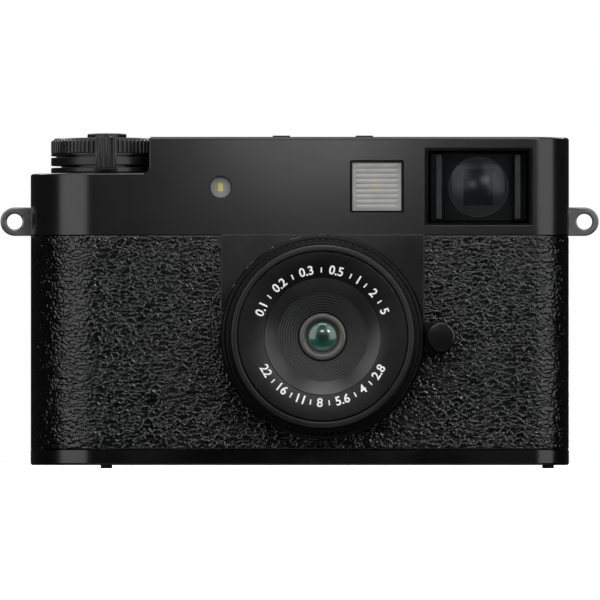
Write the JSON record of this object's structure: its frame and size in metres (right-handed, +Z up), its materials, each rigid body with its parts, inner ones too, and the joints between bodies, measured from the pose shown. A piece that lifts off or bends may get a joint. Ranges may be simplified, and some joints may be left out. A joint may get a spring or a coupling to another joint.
{
  "type": "compact digital camera",
  "caption": "Flat metal-topped compact camera with a round fixed lens, side optical finder, leather wrap and stacked top controls.",
  "frame": {"origin": "centre of the footprint, on the plane the feet stand on", "axes": "front of the lens faces -Y, +X is to the right seen from the front, +Z is up"},
  "size_m": [0.1178, 0.0458, 0.0659],
  "materials": {
    "cover_paint": "satin black paint",
    "shell_plastic": "fine matte",
    "leather": "pebbled black leatherette",
    "panel_gloss": "smooth semi-gloss black",
    "lug_metal": "dark satin plated",
    "bare_alloy": "plain cast and machined",
    "shoe_metal": "blackened",
    "foot_rubber": "matte",
    "lens_metal": "black anodised",
    "lens_baffle": "light-absorbing matte black",
    "knob_metal": "black anodised with bright bevel",
    "optic_glass": "coated optical glass",
    "flash_window": "ribbed clear plastic",
    "sensor_chip": "glossy",
    "circuit_board": "solder mask",
    "window_plastic": "gloss black",
    "led_part": "yellow phosphor",
    "control_metal": "black anodised",
    "spring_steel": "bright wire",
    "display_glass": "polished cover glass",
    "display_module": "moulded carrier",
    "port_metal": "bright stamped shell",
    "battery_case": "smooth moulded",
    "card_plastic": "moulded"
  },
  "bodies": {
    "camera_body": {"bottom_plate": "cover_paint", "front_shell": "shell_plastic", "rear_cover": "shell_plastic", "top_cover": "cover_paint", "front_leather": "leather", "lens_panel": "panel_gloss", "strap_lugs": "lug_metal", "chassis": "bare_alloy", "cold_shoe": "shoe_metal", "feet": "foot_rubber", "cover_screws": "lug_metal", "lens_flange": "lens_metal", "lens_barrel": "lens_metal", "name_ring": "lens_metal", "front_baffle": "lens_baffle", "front_bezel": "lens_metal", "front_element": "optic_glass", "iris_unit": "shell_plastic", "iris_blades": "lens_metal", "rear_element": "optic_glass", "sensor_glass": "optic_glass", "sensor": "sensor_chip", "main_board": "circuit_board", "finder_bezel": "window_plastic", "finder_window": "optic_glass", "finder_mask": "window_plastic", "finder_objective": "optic_glass", "finder_tube": "shell_plastic", "finder_eyepiece": "optic_glass", "eyecup": "foot_rubber", "flash_bezel": "window_plastic", "flash_lens": "flash_window", "flash_led": "led_part", "af_lamp_lens": "optic_glass", "af_lamp_led": "led_part", "control_sleeve": "control_metal", "stack_washers": "control_metal", "button_spring": "spring_steel", "main_display": "display_module", "main_display_glass": "display_glass", "side_display": "display_module", "side_display_glass": "display_glass", "thumb_rest": "leather", "usb_socket": "port_metal", "tripod_socket": "bare_alloy", "battery": "battery_case", "memory_card": "card_plastic"},
    "aperture_ring": {"aperture_ring": "lens_metal", "aperture_knob": "knob_metal"},
    "focus_ring": {"focus_ring": "lens_metal"},
    "focus_cell": {"focus_cell": "shell_plastic", "middle_element": "optic_glass"},
    "shutter_button": {"shutter_button": "control_metal"},
    "exposure_dial": {"exposure_dial": "control_metal"},
    "power_lever": {"power_lever": "control_metal"},
    "advance_lever": {"advance_lever": "control_metal"},
    "playback_button": {"playback_button": "control_metal"},
    "usb_flap": {"usb_flap": "shell_plastic"},
    "battery_door": {"battery_door": "cover_paint"},
    "battery_latch": {"battery_latch": "control_metal"}
  },
  "joints": [
    {"name": "aperture_ring_turn", "type": "hinge", "parent": "camera_body", "child": "aperture_ring", "pos_m": [0.0045, 0, 0.0257], "axis": [0, 1, 0], "range_deg": [-30, 60]},
    {"name": "focus_ring_turn", "type": "hinge", "parent": "camera_body", "child": "focus_ring", "pos_m": [0.0045, 0, 0.0257], "axis": [0, 1, 0], "range_deg": [0, 90]},
    {"name": "focus_cell_slide", "type": "slide", "parent": "camera_body", "child": "focus_cell", "axis": [0, -1, 0], "range_m": [0, 0.0012]},
    {"name": "shutter_button_press", "type": "slide", "parent": "camera_body", "child": "shutter_button", "axis": [0, 0, -1], "range_m": [0, 0.0011], "stiffness_N_per_m": 400, "springref_m": -0.001, "deforming": ["button_spring"]},
    {"name": "exposure_dial_turn", "type": "hinge", "parent": "camera_body", "child": "exposure_dial", "pos_m": [-0.0379, 0.0069, 0.063], "axis": [0, 0, 1], "range_deg": [-90, 90]},
    {"name": "power_lever_turn", "type": "hinge", "parent": "camera_body", "child": "power_lever", "pos_m": [-0.0379, 0.0069, 0.06], "axis": [0, 0, 1], "range_deg": [0, 25]},
    {"name": "advance_lever_swing", "type": "hinge", "parent": "camera_body", "child": "advance_lever", "pos_m": [-0.0379, 0.0069, 0.0586], "axis": [0, 0, 1], "range_deg": [0, 100], "stiffness_Nm_per_rad": 0.002, "springref_deg": -20.05},
    {"name": "playback_button_press", "type": "slide", "parent": "camera_body", "child": "playback_button", "axis": [0, -1, 0], "range_m": [0, 0.0004], "stiffness_N_per_m": 500, "springref_m": -0.0004},
    {"name": "usb_flap_hinge", "type": "hinge", "parent": "camera_body", "child": "usb_flap", "pos_m": [0.0524, 0.0152, 0.02], "axis": [0, 0, 1], "range_deg": [0, 95]},
    {"name": "battery_door_hinge", "type": "hinge", "parent": "camera_body", "child": "battery_door", "pos_m": [-0.0123, 0.0089, 0.00125], "axis": [0, -1, 0], "range_deg": [0, 95]},
    {"name": "battery_latch_slide", "type": "slide", "parent": "battery_door", "child": "battery_latch", "axis": [1, 0, 0], "range_m": [0, 0.002]}
  ],
  "couplings": [
    {"joint": "focus_cell_slide", "follows": "focus_ring_turn", "m_per_rad": 0.0007632}
  ]
}
